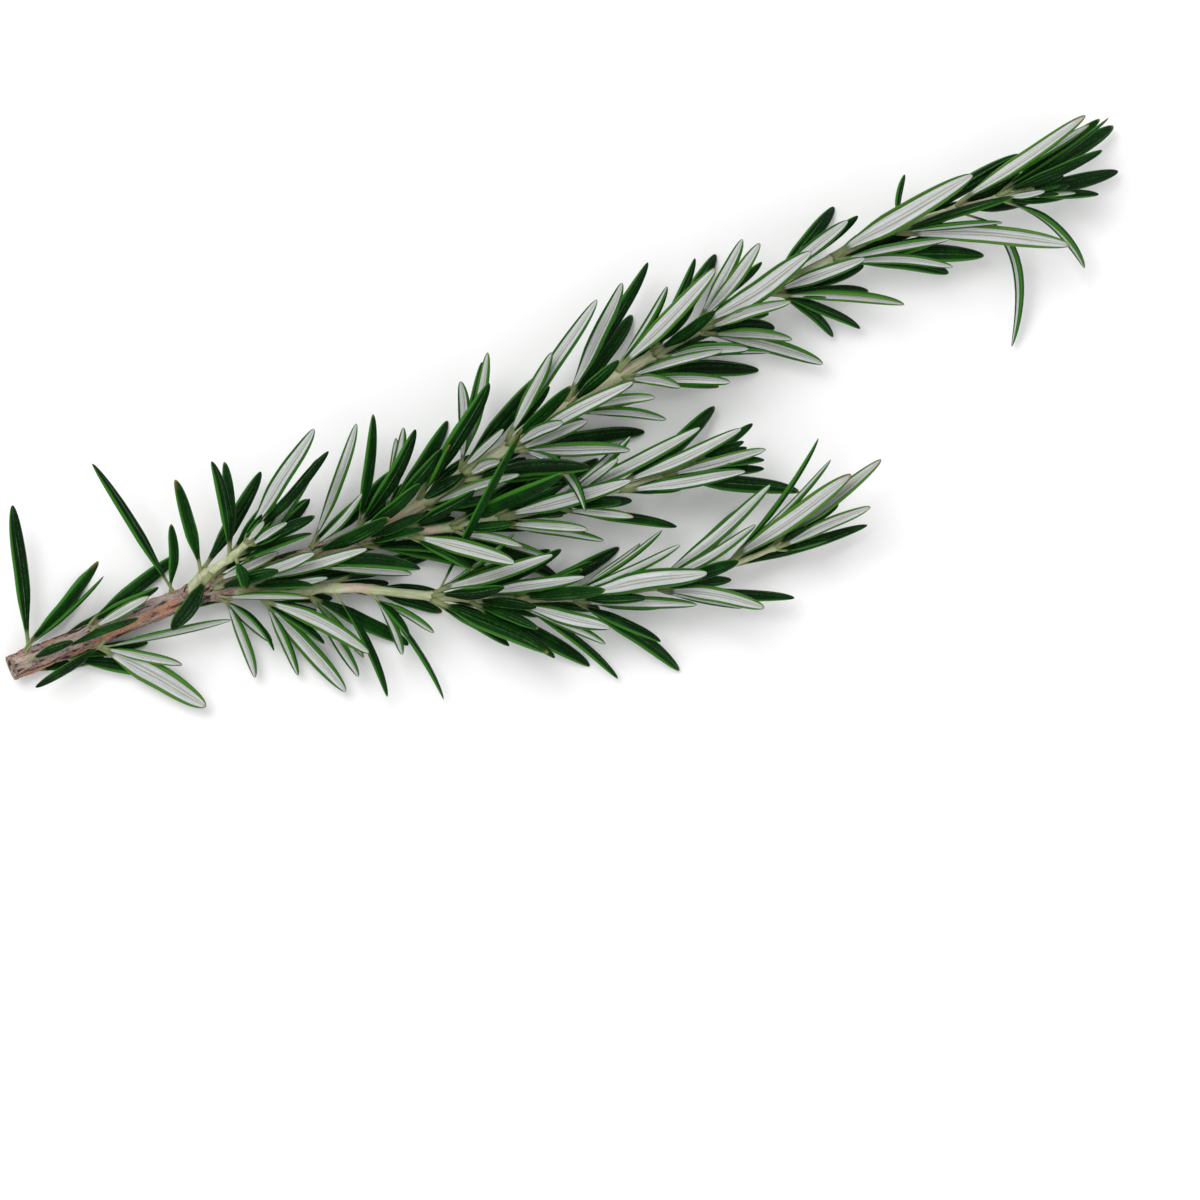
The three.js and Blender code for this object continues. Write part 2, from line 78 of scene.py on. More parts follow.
SURFACE_GAP = 0.02 * MM

# Growth that differs from leaf to leaf
TWIST = 14
TWIST_FROM = 0.25
SWAY = 0.16
RIPPLE = 0.035
RIPPLE_RUN = 9
RIPPLE_SHIFT = 2
FOLD = 0.16
FOLD_LEVEL = 0.4

# Bake map of a whorl: a strip for each leaf, with its blade first and the foot of its stalk after it
STRIP_FROM = 0.06
STRIP_TO = 0.94
MAP_BLADE_FROM = 0.01
MAP_BLADE_RUN = 0.93
MAP_FOOT_MIDDLE = 0.972
MAP_FOOT_RADIUS = 0.012
MAP_FOOT_HEIGHT = 0.2

# Stem
STEM_VOXEL = 0.28 * MM
SMOOTH_ROUNDS = 6
SMOOTH_IN = 0.5
SMOOTH_OUT = -0.52
NODE_REACH = 2.4 * MM
NODE_SWELL = 0.3 * MM
BARK_FULL = 4 * MM
BARK_GONE = 3.1 * MM
BARK_DEPTH = 0.42 * MM
RIB_DEPTH = 0.08 * MM
SHOOT_SLIMMING = 0.1
EVENING_ROUNDS = 24
GRAIN_STEP = math.radians(10)
CUT_DEPTH = 0.5 * MM
CUT_FACES_FROM = 0.5
CUT_FACES_FULLY = 0.8
CUT_SHARE = 0.5

# Relief of bark and shoots: pitch per millimetre along and across, and a shift that sets each one apart
PLATE_PITCH = (0.2, 1.1, 0)
FISSURE_PITCH = (0.3, 0.9, 9)
CRACK_PITCH = (0.9, 2.2, 5)
GRAIN_PITCH = (0.8, 3.4, 2)
RIB_PITCH = (0.1, 2.2, 4)
FISSURE_WIDTH = 0.16
CRACK_WIDTH = 0.12
PLATE_SHARE = 0.45
FISSURE_SHARE = 3.2
CRACK_SHARE = 2
GRAIN_SHARE = 0.25

# Leaf material: patterns per metre, streaks on the blade's own map, and depths of the fine relief
LEAF_PATCHES = 160
LEAF_BEADS = 1900
LEAF_VEINS = 2300
LEAF_STREAKS = 4.5
BLADE_SCALE = (0.7, 1.3, 40)
BEAD_DEPTH = 0.22 * MM
VEIN_DEPTH = 0.15 * MM
FELT_ROUGHNESS = 0.92
LEAF_SPECULAR = 0.08

# Leaf colours, as seen on a screen
DEEP_GREEN = (3, 28, 3)
FULL_GREEN = (9, 50, 6)
PATCH_GREEN = (17, 76, 12)
PIT_GREEN = (2, 18, 2)
# The groove and crest colours below are painted highlights, the edge colour is the margin's own
GROOVE_HIGHLIGHT = (70, 126, 62)
EDGE_GREEN = (58, 124, 34)
CREST_HIGHLIGHT = (96, 150, 82)
GREY_FELT = (182, 186, 184)
WHITE_FELT = (212, 211, 215)
VEIN_FELT = (150, 158, 148)
PATCH_FELT = (164, 176, 150)
# Painted shade in the creases beside the midrib, then the midrib's own colour
RIB_SIDE_SHADE = (112, 124, 98)
RIB_CREST = (192, 196, 170)
MARGIN_GREEN = (34, 92, 22)
MARGIN_LIME = (86, 130, 46)
STALK_GREEN = (150, 160, 112)
DRY_TIP = (128, 124, 56)
BROWN_TIP = (112, 78, 44)

# Stem material: patterns per metre, drawn out along the stem, and depths of the fine relief
STEM_GRAIN = (0.14, 1, 1)
STEM_STREAKS = 900
STEM_PLATES = 330
STEM_SPECKS = 2600
STEM_PATCHES = 70
STREAK_DEPTH = 0.25 * MM
SPECK_DEPTH = 0.12 * MM
STEM_SPECULAR = 0.25

# Stem colours, as seen on a screen
BARK_BROWN = (82, 60, 52)
BARK_PINK = (180, 156, 144)
BARK_RUST = (176, 118, 84)
BARK_GREY = (158, 148, 142)
BARK_CRACK = (34, 25, 23)
BARK_SPECK = (40, 31, 29)
SHOOT_GREEN = (160, 170, 122)
SHOOT_PALE = (204, 206, 176)
SHOOT_PINK = (198, 170, 156)
SHOOT_DOWN = (214, 210, 196)
NODE_GREEN = (150, 166, 108)
PITH_BROWN = (166, 138, 96)
WOOD_PALE = (206, 188, 140)
WOOD_RIM = (140, 150, 84)
WOOD_SPECK = (150, 124, 84)

# Floor
FLOOR_SIDE = 80
FLOOR_GREY = (247, 247, 247)
FLOOR_WHITE = (250, 250, 250)
FLOOR_PATCHES = 30
FLOOR_GRAIN = 900
FLOOR_DEPTH = 0.05 * MM
FLOOR_ROUGHNESS = 0.9

# The photograph's view: straight down, with the sprig's length turned on the page. The middle of the
# page is given from the stem's cut end, along the page's sides.
PAGE_TURN = -24.8
PAGE_MIDDLE = (118.4 * MM, 13.8 * MM)
PAGE_WIDTH = 240 * MM
STEM_HEIGHT = 11 * MM
CAMERA_DISTANCE = 2.4
CAMERA_NEAR = 0.01
SENSOR = 36

# Lamps: place to the right, up the page and above the floor, then side and power
KEY_LAMP = (-1.1, 1.3, 3.4, 1.9, 68)
FILL_LAMP = (2.4, -1.6, 3.6, 3.6, 14)
SKY_COLOUR = (1, 1, 1, 1)
SKY_STRENGTH = 0.78


def smoothstep(low, high, value):
    share = np.clip((value - low) / (high - low), 0, 1)
    return share * share * (3 - 2 * share)


def unit(vector):
    return vector / np.linalg.norm(vector)


def srgb(colour):
    """A colour as seen on a screen, 0 to 255, as the linear values that shaders take."""
    linear = []
    for value in colour:
        share = value / 255
        linear.append(share / 12.92 if share <= 0.04045 else ((share + 0.055) / 1.055) ** 2.4)
    return (*linear, 1)


# Leaves of the frame

def outline(share):
    """Share of a leaf's full width at a share of its length."""
    widening = smoothstep(0, WIDEST_FROM, share)
    past_round = np.clip((share - TIP_ROUND_FROM) / (1 - TIP_ROUND_FROM), 0, 1)
    return (PETIOLE_WIDTH + (1 - PETIOLE_WIDTH) * widening) * np.sqrt(1 - past_round ** 2)


def blade_outline(share):
    """The same for the finished blade, which has a slimmer stalk and a finer tip."""
    widening = smoothstep(0, STALK_WIDENS_TO, share)
    narrowing = np.clip((share - TIP_NARROWS_FROM) / (1 - TIP_NARROWS_FROM), 0, 1)
    return (STALK_WIDTH + (1 - STALK_WIDTH) * widening) * (1 - narrowing ** 2) ** TIP_POINT


def rings_from(apex):
    """The rings of three corners that follow a leaf's tip, towards its root."""
    rings = []
    seen = {apex}
    front = {apex}
    while True:
        layer = {edge.other_vert(vert) for vert in front for edge in vert.link_edges} - seen
        if len(layer) != 3:
            return rings
        rings.append(sorted(layer, key=lambda vert: vert.index))
        seen |= layer
        front = layer


def section_of(ring):
    """Middle of the flat underside, width, and direction of the underside of one ring."""
    a, b, c = [np.array(vert.co) for vert in ring]
    ways = [(a, b, c), (b, c, a), (a, c, b)]
    left, right, ridge = max(ways, key=lambda way: np.linalg.norm(way[0] - way[1]))
    middle = (left + right) / 2
    return middle, np.linalg.norm(left - right), unit(middle - ridge)


def ring_shares(count):
    """Shares of the leaf's length at its rings, from the tip."""
    return [1 - (step / count) ** RING_CROWDING for step in range(1, count)]


def ring_fit(sections, count):
    """How unevenly the leaf's full width comes out if it has so many rings, and that width."""
    shares = ring_shares(count)[:SURE_RINGS]
    widths = [section[1] / outline(share) for section, share in zip(sections, shares)]
    return np.std(widths) / np.mean(widths), count, np.mean(widths)


class Leaf:
    """A leaf's midline, a bend from root to tip, its width and the way its underside faces."""

    def __init__(self, apex, rings):
        sections = [section_of(ring) for ring in rings]
        _, count, self.width = min(ring_fit(sections, count) for count in RING_COUNTS)
        known = [
            (share, *section) for share, section in zip(ring_shares(count), sections)
            if abs(section[1] / outline(share) / self.width - 1) < SAME_WIDTH
        ]
        self.tip = np.array(apex.co)
        weights = np.array([[(1 - share) ** 2, 2 * share * (1 - share)] for share, *_ in known])
        targets = np.array([centre - share ** 2 * self.tip for share, centre, *_ in known])
        self.root, self.middle = np.linalg.lstsq(weights, targets, rcond=None)[0]
        self.shares = [share for share, *_ in known][::-1]
        self.unders = np.array([under for *_, under in known])[::-1]

    def point(self, share):
        rest = 1 - share
        return rest ** 2 * self.root + 2 * share * rest * self.middle + share ** 2 * self.tip

    def forward(self, share):
        return unit((1 - share) * (self.middle - self.root) + share * (self.tip - self.middle))

    def under(self, share):
        return np.array([np.interp(share, self.shares, self.unders[:, axis]) for axis in range(3)])


def leaves_of(node):
    """The leaves of a whorl of the frame."""
    whorl = bmesh.new()
    whorl.from_mesh(node.data)
    bmesh.ops.remove_doubles(whorl, verts=whorl.verts, dist=WELD)
    whorl.verts.index_update()
    leaves = []
    for vert in whorl.verts:
        rings = rings_from(vert) if len(vert.link_edges) == 3 else []
        if len(rings) >= SURE_RINGS:
            leaves.append(Leaf(vert, rings))
    whorl.free()
    return leaves


def tree_of(obj):
    """A search tree of a node's surface."""
    copy = bmesh.new()
    copy.from_mesh(obj.data)
    tree = BVHTree.FromBMesh(copy)
    copy.free()
    return tree


# Leaf shape

def section_loop():
    """The whole cross-section, from the groove of the upper side round to it again, and its felt: 1 in
    the channel, a part of it on the rolled margins, 0 on the upper side."""
    right = UPPER_HALF + UNDER_HALF
    left = [(-across, height) for across, height in right[-2:0:-1]]
    loop = np.array(right + left)
    is_under = np.zeros(len(loop))
    first_under = len(UPPER_HALF)
    is_under[first_under:len(loop) - first_under + 1] = 1
    felt = is_under * np.where(np.abs(loop[:, 0]) < FELT_EDGE, 1, MARGIN_FELT)
    return loop, felt


SECTION, SECTION_FELT = section_loop()
AROUND = len(SECTION)
ANGLES = math.pi / 2 - 2 * math.pi * np.arange(AROUND) / AROUND
PETIOLE_SECTION = np.stack(
    [np.cos(ANGLES), PETIOLE_MIDDLE + PETIOLE_HEIGHT * np.sin(ANGLES)], axis=1)


def blade_stations():
    """Shares of a leaf's length at the rings of its blade, crowded towards the tip."""
    steps = np.arange(BLADE_STEPS) / BLADE_STEPS
    return BLADE_FROM + (1 - BLADE_FROM) * (1 - (1 - steps) ** BLADE_CROWDING)


class LeafShape:
    """The finished surface of one leaf: rings of points, and what its material needs to know there."""

    def __init__(self, leaf, stem_tree, dice):
        self.leaf = leaf
        self.twist = math.radians(dice.uniform(-TWIST, TWIST))
        self.sway = dice.uniform(-SWAY, SWAY)
        self.fold = dice.uniform(-FOLD / 2, FOLD)
        self.phase = dice.uniform(0, 2 * math.pi)
        self.seed = dice.random()
        self.points = []
        self.felt = []
        self.across = []
        self.along = []
        self.add_petiole(stem_tree)
        for share in blade_stations():
            self.add_ring(leaf.point(share), leaf.forward(share), share, 1)

    def add_petiole(self, stem_tree):
        """The stalk, which leaves the stem nearly along it and turns out into the blade."""
        leaf = self.leaf
        foot, _, _, _ = stem_tree.find_nearest(Vector(leaf.root - leaf.forward(0) * PETIOLE_RUN))
        foot = np.array(foot)
        start = foot + unit(foot - leaf.root) * PETIOLE_SINK
        end = leaf.point(BLADE_FROM)
        self.foot = foot
        for step in range(PETIOLE_STEPS):
            share = step / PETIOLE_STEPS
            rest = 1 - share
            centre = rest ** 2 * start + 2 * rest * share * leaf.root + share ** 2 * end
            forward = unit(rest * (leaf.root - start) + share * (end - leaf.root))
            self.add_ring(centre, forward, share * BLADE_FROM, 1 + PETIOLE_FLARE * rest ** 2)

    def add_ring(self, centre, forward, share, flare):
        """One ring of points round the midline, kept above the floor."""
        leaf = self.leaf
        under = leaf.under(share)
        under = unit(under - forward * under.dot(forward))
        sideways = np.cross(under, forward)
        turn = self.twist * smoothstep(TWIST_FROM, 1, share)
        wide = math.cos(turn) * sideways + math.sin(turn) * under
        low = math.cos(turn) * under - math.sin(turn) * sideways
        shaped = smoothstep(BLADE_FROM / 2, BLADE_SHAPED_BY, share)
        section = SECTION * shaped + PETIOLE_SECTION * (1 - shaped)
        half = leaf.width * blade_outline(share) * flare / 2
        wave = self.phase + RIPPLE_RUN * share + RIPPLE_SHIFT * np.sign(section[:, 0])
        across = section[:, 0] * (1 + RIPPLE * np.sin(wave))
        height = section[:, 1] + self.fold * shaped * (section[:, 0] ** 2 - FOLD_LEVEL)
        bend = self.sway * leaf.width * math.sin(math.pi * share) ** 2
        middle = centre + wide * bend
        ring = middle + half * (across[:, None] * wide - height[:, None] * low)
        ring[:, 2] += max(0, SURFACE_GAP - ring[:, 2].min())
        self.points.append(ring)
        self.felt.append(SECTION_FELT * smoothstep(BLADE_FROM / 2, FELT_FULL_BY, share))
        self.across.append(section[:, 0])
        self.along.append(np.full(AROUND, share))

    def vertices(self):
        """The points of all rings, and the tip after them."""
        tip = self.leaf.tip.copy()
        tip[2] = max(tip[2], self.points[-1][:, 2].min())
        return np.vstack([*self.points, tip])

    def values(self, name):
        """One value at each of the vertices."""
        ends = {"felt": 0, "across": 0, "along": 1}
        return np.append(np.concatenate(getattr(self, name)), ends[name])


def leaf_faces(rings, first, strip, strips):
    """Faces of one leaf as corner lists, with each corner's place on its strip of the bake map."""
    faces = []
    places = []
    low = (strip + STRIP_FROM) / strips
    high = (strip + STRIP_TO) / strips
    last = rings - 1

    def place(ring, corner):
        return MAP_BLADE_FROM + MAP_BLADE_RUN * ring / rings, low + (high - low) * corner / AROUND

    for ring in range(last):
        for corner in range(AROUND):
            after = (corner + 1) % AROUND
            here = first + ring * AROUND
            faces.append((here + corner, here + after, here + AROUND + after, here + AROUND + corner))
            places.extend([place(ring, corner), place(ring, corner + 1),
                           place(ring + 1, corner + 1), place(ring + 1, corner)])
    apex = first + rings * AROUND
    for corner in range(AROUND):
        after = (corner + 1) % AROUND
        here = first + last * AROUND
        faces.append((here + corner, here + after, apex))
        places.extend([place(last, corner), place(last, corner + 1), place(rings, corner + 0.5)])
    faces.append(tuple(first + corner for corner in range(AROUND - 1, -1, -1)))
    for corner in range(AROUND - 1, -1, -1):
        angle = 2 * math.pi * corner / AROUND
        foot_along = MAP_FOOT_MIDDLE + MAP_FOOT_RADIUS * math.cos(angle)
        foot_across = (low + high) / 2 + MAP_FOOT_HEIGHT / strips * math.sin(angle)
        places.append((foot_along, foot_across))
    return faces, places


def add_values(mesh, name, values):
    layer = mesh.attributes.new(name, "FLOAT", "POINT")
    layer.data.foreach_set("value", np.asarray(values, dtype=np.float32))


def add_places(mesh, name, places):
    layer = mesh.attributes.new(name, "FLOAT_VECTOR", "POINT")
    layer.data.foreach_set("vector", np.asarray(places, dtype=np.float32).ravel())


def add_piece(name, mesh, material, nodes):
    """Puts a finished mesh into the scene in place of nodes of the frame."""
    piece = bpy.data.objects.new(name, mesh)
    bpy.context.scene.collection.objects.link(piece)
    mesh.materials.clear()
    mesh.materials.append(material)
    mesh.polygons.foreach_set("use_smooth", np.ones(len(mesh.polygons), dtype=bool))
    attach(piece, "root")
    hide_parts(*nodes)


def build_whorl(name, shapes, material):
    """All leaves of one whorl as one piece."""
    vertices = []
    faces = []
    places = []
    for strip, shape in enumerate(shapes):
        first = sum(len(part) for part in vertices)
        leaf_part, place_part = leaf_faces(len(shape.points), first, strip, len(shapes))
        vertices.append(shape.vertices())
        faces.extend(leaf_part)
        places.extend(place_part)
    mesh = bpy.data.meshes.new(name)
    mesh.from_pydata(np.vstack(vertices).tolist(), [], faces)
    bake_map = mesh.uv_layers.new(name="OFBake")
    bake_map.data.foreach_set("uv", np.array(places, dtype=np.float32).ravel())
    for value in ("felt", "across", "along"):
        add_values(mesh, value, np.concatenate([shape.values(value) for shape in shapes]))
    seeds = [np.full(len(part), shape.seed) for part, shape in zip(vertices, shapes)]
    add_values(mesh, "seed", np.concatenate(seeds))
    add_piece(f"{name}_blades", mesh, material, [name])


# Stem shape

def fine_copy(obj, voxel):
    """A fine even mesh of a node of the frame."""
    copy = bpy.data.objects.new("stem_rough", obj.data.copy())
    bpy.context.scene.collection.objects.link(copy)
    remesh = copy.modifiers.new("even", "REMESH")
    remesh.mode = "VOXEL"
    remesh.voxel_size = voxel
    remesh.use_smooth_shade = True
    depsgraph = bpy.context.evaluated_depsgraph_get()
    mesh = bpy.data.meshes.new_from_object(copy.evaluated_get(depsgraph))
    rough = copy.data
    bpy.data.objects.remove(copy)
    bpy.data.meshes.remove(rough)
    return mesh


def positions_of(mesh):
    places = np.empty(len(mesh.vertices) * 3)
    mesh.vertices.foreach_get("co", places)
    return places.reshape(-1, 3)


def normals_of(mesh):
    normals = np.empty(len(mesh.vertices) * 3)
    mesh.vertices.foreach_get("normal", normals)
    return normals.reshape(-1, 3)


def set_positions(mesh, places):
    mesh.vertices.foreach_set("co", places.ravel())
    mesh.update()


def edge_ends(mesh):
    edges = np.empty(len(mesh.edges) * 2, dtype=np.int64)
    mesh.edges.foreach_get("vertices", edges)
    return edges.reshape(-1, 2)


def neighbour_means(values, ends):
    """Mean of each vertex's neighbours, along the edges of the mesh."""
    total = np.zeros_like(values)
    np.add.at(total, ends[:, 0], values[ends[:, 1]])
    np.add.at(total, ends[:, 1], values[ends[:, 0]])
    counts = np.bincount(ends.ravel(), minlength=len(values))
    return total / counts.reshape(-1, *[1] * (values.ndim - 1))


def smooth(mesh, rounds):
    """Evens out steps and facets without thinning the shoots."""
    ends = edge_ends(mesh)
    places = positions_of(mesh)
    for step in range(2 * rounds):
        share = SMOOTH_IN if step % 2 == 0 else SMOOTH_OUT
        places += share * (neighbour_means(places, ends) - places)
    set_positions(mesh, places)


def thickness_of(mesh, tree):
    """How thick the stem is at each vertex, measured straight through it and evened out."""
    through = []
    for place, normal in zip(positions_of(mesh), normals_of(mesh)):
        inward = Vector(-normal)
        _, _, _, distance = tree.ray_cast(Vector(place) + inward * NODE_SWELL, inward)
        through.append(NODE_SWELL + (distance or 0))
    thickness = np.array(through)
    ends = edge_ends(mesh)
    for _ in range(EVENING_ROUNDS):
        thickness = neighbour_means(thickness, ends)
    return thickness


def move_out(mesh, heights):
    """Moves the surface outward by a height at each vertex, or inward where it is less than nothing."""
    set_positions(mesh, positions_of(mesh) + normals_of(mesh) * heights[:, None])


def node_shares(mesh, feet):
    """How close each vertex of the stem is to a leaf stalk: 1 at its foot, 0 out of its reach."""
    tree = KDTree(len(feet))
    for index, foot in enumerate(feet):
        tree.insert(Vector(foot), index)
    tree.balance()
    near = np.array([tree.find(Vector(place))[2] for place in positions_of(mesh)])
    return 1 - smoothstep(0, NODE_REACH, near)


def grain_places(mesh):
    """Each vertex's place, turned level in even steps so that its first value runs along the shoot. The
    normals round a shoot spread across it, so it runs where they spread least."""
    normals = normals_of(mesh)
    spread = normals[:, :, None] * normals[:, None, :]
    ends = edge_ends(mesh)
    for _ in range(EVENING_ROUNDS):
        spread = neighbour_means(spread, ends)
    ways = np.linalg.eigh(spread)[1][:, :, 0]
    level = ways * np.sign(ways[:, :1])
    turns = np.round(np.arctan2(level[:, 1], level[:, 0]) / GRAIN_STEP) * GRAIN_STEP
    x, y, z = positions_of(mesh).T
    along = x * np.cos(turns) + y * np.sin(turns)
    across = y * np.cos(turns) - x * np.sin(turns)
    return np.stack([along, across, z], axis=1)


def drawn_noise(place, along, across, shift):
    """Noise between -1 and 1 with the given pitches per millimetre along and across the grain."""
    x, y, z = place / MM
    return noise.noise(Vector((x * along + shift, y * across, z * across)))


def bark_relief(place):
    """Plates with long fissures between them, and a fine grain, all drawn out along the stem."""
    plates = drawn_noise(place, *PLATE_PITCH)
    fissure = min(0, abs(drawn_noise(place, *FISSURE_PITCH)) - FISSURE_WIDTH)
    cracks = min(0, abs(drawn_noise(place, *CRACK_PITCH)) - CRACK_WIDTH)
    grain = drawn_noise(place, *GRAIN_PITCH)
    return PLATE_SHARE * plates + FISSURE_SHARE * fissure + CRACK_SHARE * cracks + GRAIN_SHARE * grain


def rib_relief(place):
    """Faint lengthwise ribs of a green shoot."""
    return drawn_noise(place, *RIB_PITCH)


def roughen(mesh, bark, grain):
    """Gives bark its plates and cracks, and green shoots their ribs."""
    relief = [
        share * BARK_DEPTH * bark_relief(place) + (1 - share) * RIB_DEPTH * rib_relief(place)
        for place, share in zip(grain, bark)
    ]
    move_out(mesh, np.array(relief))


def lift_to_floor(mesh):
    """Keeps the lowest parts of the stem above the floor."""
    places = positions_of(mesh)
    places[:, 2] = np.maximum(places[:, 2], SURFACE_GAP)
    set_positions(mesh, places)


def build_stem(material, feet, tree):
    """The stem with all its shoots as one piece, with slimmer green shoots and swollen nodes."""
    mesh = fine_copy(STEM, STEM_VOXEL)
    smooth(mesh, SMOOTH_ROUNDS)
    places = positions_of(mesh)
    end = places[:, 0].min()
    cut = 1 - smoothstep(CUT_DEPTH / 2, CUT_DEPTH, places[:, 0] - end)
    cut *= smoothstep(CUT_FACES_FROM, CUT_FACES_FULLY, -normals_of(mesh)[:, 0])
    face = places[cut > CUT_SHARE]
    middle = face.mean(axis=0)
    girth = np.linalg.norm((face - middle)[:, 1:], axis=1).max()
    radial = np.linalg.norm((places - middle)[:, 1:], axis=1) / girth
    thickness = thickness_of(mesh, tree)
    bark = np.maximum(cut, smoothstep(BARK_GONE, BARK_FULL, thickness))
    move_out(mesh, -SHOOT_SLIMMING * thickness * (1 - bark))
    node = node_shares(mesh, feet)
    move_out(mesh, NODE_SWELL * node)
    grain = grain_places(mesh)
    roughen(mesh, bark * (1 - cut), grain)
    lift_to_floor(mesh)
    add_places(mesh, "grain", grain)
    add_values(mesh, "bark", bark)
    add_values(mesh, "node", node)
    add_values(mesh, "cut", cut)
    add_values(mesh, "radial", np.clip(radial, 0, 1))
    add_piece("stem_bark", mesh, material, ["stem"])


# Materials

class Shader:
    """Short names for the nodes of one material."""

    def __init__(self, name):
        self.material = bpy.data.materials.new(name)
        self.material.use_nodes = True
        self.tree = self.material.node_tree
        self.surface = self.tree.nodes["Principled BSDF"]
        self.place = self.add("ShaderNodeTexCoord").outputs["Object"]

    def add(self, kind, inputs=(), **settings):
        node = self.tree.nodes.new(kind)
        for name, value in settings.items():
            setattr(node, name, value)
        for socket, value in dict(inputs).items():
            self.put(node.inputs[socket], value)
        return node

    def put(self, socket, value):
        if isinstance(value, bpy.types.NodeSocket):
            self.tree.links.new(value, socket)
        else:
            socket.default_value = value

    def attribute(self, name):
        return self.add("ShaderNodeAttribute", attribute_name=name).outputs["Fac"]

    def attribute_place(self, name):
        return self.add("ShaderNodeAttribute", attribute_name=name).outputs["Vector"]

    def scaled(self, place, scale):
        return self.add("ShaderNodeMapping", {"Vector": place, "Scale": scale}).outputs["Vector"]

    def blade_place(self, along, across, seed):
        """A place on a leaf's own blade, drawn out along it, so that streaks follow the leaf."""
        parts = self.add("ShaderNodeCombineXYZ", {"X": along, "Y": across, "Z": seed})
        return self.scaled(parts.outputs["Vector"], BLADE_SCALE)

    def noise(self, scale, detail=3, vector=None, roughness=0.5):
        place = vector or self.place
        inputs = {"Vector": place, "Scale": scale, "Detail": detail, "Roughness": roughness}
        return self.add("ShaderNodeTexNoise", inputs).outputs["Fac"]

    def step(self, value, low, high, bottom=0, top=1):
        inputs = {"Value": value, "From Min": low, "From Max": high, "To Min": bottom, "To Max": top}
        node = self.add("ShaderNodeMapRange", inputs, interpolation_type="SMOOTHSTEP")
        return node.outputs["Result"]

    def maths(self, kind, a, b):
        return self.add("ShaderNodeMath", {0: a, 1: b}, operation=kind).outputs[0]

    def times(self, a, b):
        return self.maths("MULTIPLY", a, b)

    def size(self, a):
        return self.add("ShaderNodeMath", {0: a}, operation="ABSOLUTE").outputs[0]

    def colour(self, value):
        """A colour from another node as it is, or one as seen on a screen."""
        return value if isinstance(value, bpy.types.NodeSocket) else srgb(value)

    def mix(self, share, a, b):
        node = self.add("ShaderNodeMix", data_type="RGBA")
        self.put(node.inputs["Factor"], share)
        colours = [socket for socket in node.inputs if socket.type == "RGBA"]
        self.put(colours[0], self.colour(a))
        self.put(colours[1], self.colour(b))
        return next(socket for socket in node.outputs if socket.type == "RGBA")

    def bump(self, height, distance, strength, below=None):
        inputs = {"Height": height, "Distance": distance, "Strength": strength}
        if below is not None:
            inputs["Normal"] = below
        return self.add("ShaderNodeBump", inputs).outputs["Normal"]

    def finish(self, colour, roughness, normal):
        self.put(self.surface.inputs["Base Color"], colour)
        self.put(self.surface.inputs["Roughness"], roughness)
        self.put(self.surface.inputs["Normal"], normal)
        return self.material


